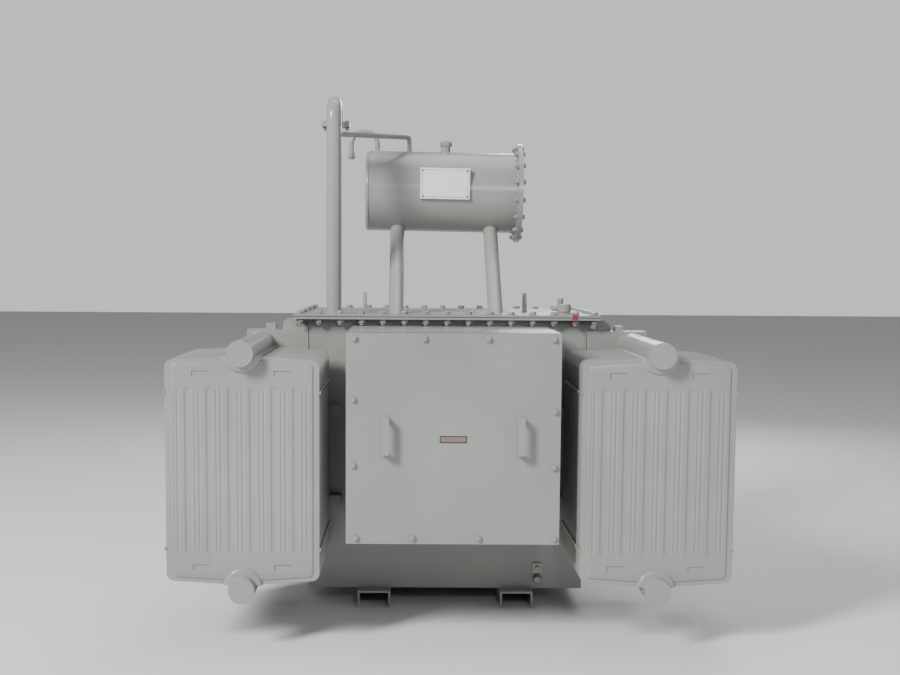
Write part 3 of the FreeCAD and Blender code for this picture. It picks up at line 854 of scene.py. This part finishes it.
label_colour.inputs[6].default_value = (0.18, 0.145, 0.14, 1)
label_colour.inputs[7].default_value = (0.060, 0.032, 0.030, 1)
link(label_tree, label_border, 0, label_colour, 0)
link(label_tree, label_colour, 2, label_shader, "Base Color")
paint_nodes(label_plastic, "front_cover_label")

# ---- Conservator ----
# A shell rolled from steel sheet, with a welded left end and a cover bolted to a flange at
# the right. It leans a little to the right and stands on two pipe legs, welded at both ends.
paint_nodes(enamel, "conservator_shell", "conservator_left_end", "conservator_flange")
paint_nodes(enamel, "conservator_cover", "left_conservator_leg", "right_conservator_leg")
shell_low, shell_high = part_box("conservator_shell")
flange_low, flange_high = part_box("conservator_flange")
cover_low, cover_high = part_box("conservator_cover")
tilt = math.radians(0.8)
tip_axis = Vector((math.cos(tilt), 0, -math.sin(tilt)))
flange_bolt_count = 16
flange_centre = (flange_low + flange_high) / 2
cover_centre = (cover_low + cover_high) / 2
flange_radius = (flange_high.y - flange_low.y) / 2
shell_radius = (shell_high.y - shell_low.y) / 2
flange_grip = (cover_centre - flange_centre).length + 0.009
facing_out = tip_axis.to_track_quat("Z", "Y").to_matrix().to_4x4()
cover_face = Matrix.Translation(cover_centre + tip_axis * 0.005) @ facing_out
bolt_circle = Matrix.Translation((flange_radius - 0.018, 0, 0))
turns = []
for index in range(flange_bolt_count):
    spin = Matrix.Rotation((index + 0.5) * math.tau / flange_bolt_count, 4, "Z")
    turns.append(cover_face @ spin @ bolt_circle)
flange_bolts = copy_to(through_bolt(0.012, flange_grip), turns)
finish_piece(flange_bolts, "conservator_bolts", enamel)

end_low, end_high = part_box("conservator_left_end")
end_centre = (end_low + end_high) / 2 + tip_axis * 0.005
beads = [
    ring_bead(end_centre, tip_axis, shell_radius, 0.003),
    ring_bead(flange_centre - tip_axis * 0.004, tip_axis, shell_radius + 0.001, 0.004),
]
shell_centre = (shell_low + shell_high) / 2
lean = Vector((0, 0.7632, 0.6462))
for hand in ("left", "right"):
    leg_low, leg_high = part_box(hand + "_conservator_leg")
    leg_radius = (leg_high.x - leg_low.x) / 2
    leg_x = (leg_low.x + leg_high.x) / 2
    foot = Vector((leg_x, leg_low.y + leg_radius / lean.z, leg_low.z))
    collar = ring_bead((0, 0, 0), (0, 0, 1), leg_radius + 0.001, 0.004)
    collar.scale = (1, 1 / lean.z, 1)
    collar.location = foot
    beads.append(collar)
    axis_z = shell_centre.z - (leg_x - shell_centre.x) * math.tan(tilt)
    axis_point = Vector((leg_x, shell_centre.y, axis_z))
    reach = 0.3
    while (foot + lean * reach - axis_point).length > shell_radius:
        reach += 0.001
    entry = foot + lean * reach
    beads.append(ring_bead(entry, lean, leg_radius + 0.001, 0.005))
conservator_welds = join_pieces(beads)
finish_piece(conservator_welds, "conservator_welds", enamel, angle=60)

# ---- Rating plate ----
# A blank white-enamelled metal plate with a thin dark line round it, on a sheet pad that is
# welded to the shell. Four round-headed screws of plated steel hold it.
plate_low, plate_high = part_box("rating_plate")
# The third colour is the painted sheen on upward faces.
plate_white = mix_enamel(
    "plate_white", (0.72, 0.73, 0.73), (0.66, 0.67, 0.67), (0.74, 0.74, 0.73), 0.25, 0.35
)
plate_tree = plate_white.node_tree
plate_shader = plate_tree.nodes["Principled BSDF"]
plate_place = plate_tree.nodes.new("ShaderNodeTexCoord")
plate_turn = plate_tree.nodes.new("ShaderNodeMapping")
plate_turn.vector_type = "TEXTURE"
plate_turn.inputs["Location"].default_value = (plate_low + plate_high) / 2
plate_turn.inputs["Rotation"].default_value = (0, math.radians(0.8), 0)
link(plate_tree, plate_place, "Object", plate_turn, "Vector")
plate_split = plate_tree.nodes.new("ShaderNodeSeparateXYZ")
link(plate_tree, plate_turn, "Vector", plate_split, "Vector")
plate_lines = []
for axis, half in (("X", 0.0915), ("Z", 0.0535)):
    offset = plate_tree.nodes.new("ShaderNodeMath")
    offset.operation = "ABSOLUTE"
    link(plate_tree, plate_split, axis, offset, 0)
    past = plate_tree.nodes.new("ShaderNodeMath")
    past.operation = "SUBTRACT"
    past.inputs[1].default_value = half
    link(plate_tree, offset, 0, past, 0)
    plate_lines.append(past)
plate_outside = plate_tree.nodes.new("ShaderNodeMath")
plate_outside.operation = "MAXIMUM"
link(plate_tree, plate_lines[0], 0, plate_outside, 0)
link(plate_tree, plate_lines[1], 0, plate_outside, 1)
plate_line = plate_tree.nodes.new("ShaderNodeMath")
plate_line.operation = "COMPARE"
plate_line.inputs[1].default_value = 0.0
plate_line.inputs[2].default_value = 0.0008
link(plate_tree, plate_outside, 0, plate_line, 0)
plate_colour = plate_tree.nodes.new("ShaderNodeMix")
plate_colour.data_type = "RGBA"
plate_colour.inputs[7].default_value = (0.06, 0.06, 0.06, 1)
plate_base = plate_shader.inputs["Base Color"].links[0].from_socket
plate_tree.links.new(plate_base, plate_colour.inputs[6])
link(plate_tree, plate_line, 0, plate_colour, 0)
link(plate_tree, plate_colour, 2, plate_shader, "Base Color")
paint_nodes(plate_white, "rating_plate")
plate_front = plate_low.y
plate_middle = (plate_low + plate_high) / 2
turns = []
for side in (-1, 1):
    for rise in (-1, 1):
        screw_x = plate_middle.x + side * 0.089
        screw_z = plate_middle.z + rise * 0.051 - side * 0.0012
        spot = Matrix.Translation((screw_x, plate_front, screw_z))
        turns.append(spot @ Matrix.Rotation(math.pi / 2, 4, "X"))
bpy.ops.mesh.primitive_uv_sphere_add(segments=16, ring_count=8, radius=0.0050, location=(0, 0, 0))
screw = bpy.context.object
bpy.ops.object.mode_set(mode="EDIT")
bpy.ops.mesh.select_all(action="SELECT")
bpy.ops.mesh.bisect(plane_co=(0, 0, 0), plane_no=(0, 0, 1), clear_inner=True, use_fill=True)
bpy.ops.mesh.select_all(action="SELECT")
bpy.ops.transform.resize(value=(1, 1, 0.55), center_override=(0, 0, 0))
bpy.ops.object.mode_set(mode="OBJECT")
plate_screws = copy_to(screw, turns)

# The third colour is the painted sheen on upward faces.
plated = mix_enamel(
    "plated_steel", (0.30, 0.29, 0.27), (0.20, 0.19, 0.18), (0.30, 0.29, 0.27), 0.3, 0.5
)
plated.node_tree.nodes["Principled BSDF"].inputs["Metallic"].default_value = 0.85
finish_piece(plate_screws, "plate_screws", plated)

# ---- Filler on the conservator ----
# A short turned steel neck, welded on top of the shell and closed by a round screwed cap.
# The cap's edge is milled so that it can be turned by hand.
paint_nodes(enamel, "conservator_filler")
filler_low, filler_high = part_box("conservator_filler")
cap_radius = (filler_high.x - filler_low.x) / 2
cap_top = Vector(((filler_low.x + filler_high.x) / 2, (filler_low.y + filler_high.y) / 2, filler_high.z))
bpy.ops.mesh.primitive_cylinder_add(
    vertices=48, radius=cap_radius, depth=0.014, location=cap_top - Vector((0, 0, 0.008))
)
milled_cap = bpy.context.object
bpy.ops.object.transform_apply(location=True, rotation=True, scale=True)
bpy.ops.object.mode_set(mode="EDIT")
bpy.ops.mesh.select_mode(type="FACE")
bpy.ops.mesh.select_all(action="DESELECT")
bpy.ops.object.mode_set(mode="OBJECT")
sides = [face for face in milled_cap.data.polygons if abs(face.normal.z) < 0.5]
for face in sides[::2]:
    face.select = True
bpy.ops.object.mode_set(mode="EDIT")
bpy.ops.mesh.extrude_faces_move(TRANSFORM_OT_shrink_fatten={"value": 0.0014})
bpy.ops.mesh.select_mode(type="VERT")
bpy.ops.object.mode_set(mode="OBJECT")
cap_knob = disc(cap_radius * 0.5, 0.004, 0)
cap_knob.location = cap_top - Vector((0, 0, 0.0012))
finish_piece(join_pieces([milled_cap, cap_knob]), "filler_cap_edge", enamel)

# ---- Vent pipe and small pipes ----
# A gooseneck of bent pipe, its mouth shut by a plate on four bolts. The thin pipes over the
# conservator level its pressure and let it breathe through a hexagon coupling.
paint_nodes(enamel, "vent_pipe", "vent_flange", "vent_cover")
paint_nodes(enamel, "equalizer_pipe", "breather_pipe")
mouth_low, mouth_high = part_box("vent_flange")
shut_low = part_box("vent_cover")[0]
mouth = (mouth_low + mouth_high) / 2
mouth_radius = (mouth_high.x - mouth_low.x) / 2
turns = []
for index in range(4):
    spin = Matrix.Rotation(index * math.pi / 2, 4, "Z")
    out = Matrix.Translation((mouth_radius - 0.012, 0, 0))
    turns.append(Matrix.Translation((mouth.x, mouth.y, mouth_high.z)) @ spin @ out)
vent_bolts = copy_to(through_bolt(0.010, mouth_high.z - shut_low.z), turns)
finish_piece(vent_bolts, "vent_bolts", enamel)

nut_low, nut_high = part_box("breather_coupling")
coupling = join_pieces(
    [
        hexagon(0.0290, nut_high.z - nut_low.z - 0.004, 0.004),
        disc(0.0125, 0.006, 0),
        disc(0.0130, 0.007, nut_high.z - nut_low.z - 0.001),
    ]
)
coupling.location = ((nut_low.x + nut_high.x) / 2, (nut_low.y + nut_high.y) / 2, nut_low.z)
finish_piece(coupling, "breather_nut", enamel)
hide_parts("breather_coupling")

# ---- Thermometer pocket ----
# A turned steel body screwed into the lid, with a threaded stem on top for the thermometer
# and a cable gland out of its left side.
pocket_low, pocket_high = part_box("thermometer_pocket")
pocket_x = (pocket_low.x + pocket_high.x) / 2 + 0.008
pocket_y = (pocket_low.y + pocket_high.y) / 2
body_height = 0.040
pocket_parts = [
    disc(0.0300, 0.006, 0),
    disc(0.0265, body_height - 0.006, 0.006, 32),
    disc(0.0110, 0.022, body_height, 20),
]
for index in range(5):
    pocket_parts.append(disc(0.0120, 0.0022, body_height + 0.002 + index * 0.0036, 20))
for part in pocket_parts[2:]:
    part.location.x = -0.014
gland = hexagon(0.0190, 0.014, 0)
gland.rotation_euler = (0, -math.pi / 2, 0)
gland.location = (-0.0250, 0, 0.020)
gland_ring = disc(0.0075, 0.008, 0.014)
gland_ring.rotation_euler = (0, -math.pi / 2, 0)
gland_ring.location = (-0.0250, 0, 0.020)
pocket = join_pieces(pocket_parts + [gland, gland_ring])
pocket.location = (pocket_x, pocket_y, pocket_low.z)
finish_piece(pocket, "thermometer_body", enamel)
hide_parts("thermometer_pocket")

# ---- Drain plug and earthing pad ----
# A zinc-plated hexagon plug in a socket welded to the tank's foot, and above it a bare pad
# of plated steel with the bolt that takes an earth lead.
paint_nodes(plated, "earthing_pad")
plug_low, plug_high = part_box("drain_plug")
plug_middle = (plug_low + plug_high) / 2
plug_radius = (plug_high.x - plug_low.x) / 2
drain = join_pieces(
    [
        disc(plug_radius, 0.014, 0),
        disc(plug_radius * 0.78, 0.004, 0.014),
        hexagon(plug_radius * 1.5, 0.012, 0.018),
    ]
)
drain.rotation_euler = (math.pi / 2, 0, 0)
drain.location = (plug_middle.x, plug_high.y, plug_middle.z)
finish_piece(drain, "drain_plug_hexagon", plated)
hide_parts("drain_plug")
pad_low, pad_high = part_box("earthing_pad")
earth_bolt = head_bolt(0.012)
earth_bolt.rotation_euler = (math.pi / 2, 0, 0)
earth_bolt.location = ((pad_low.x + pad_high.x) / 2, pad_low.y, (pad_low.z + pad_high.z) / 2)
finish_piece(earth_bolt, "earthing_bolt", plated)

# ---- Lifting lugs, blocks and the bonding strap ----
# Eyes cut from steel plate and welded to the lid and tank, and small blocks welded to the
# ducts, all in the tank's paint. The short red strap joins lid and rim electrically.
paint_nodes(enamel, "lid_lifting_lugs", "tank_lifting_lugs", "duct_blocks")
# The third colour is the painted sheen on upward faces.
strap_red = mix_enamel(
    "strap_red", (0.30, 0.03, 0.05), (0.24, 0.025, 0.04), (0.3, 0.1, 0.1), 0.35, 0.5
)
paint_nodes(strap_red, "bonding_strap")
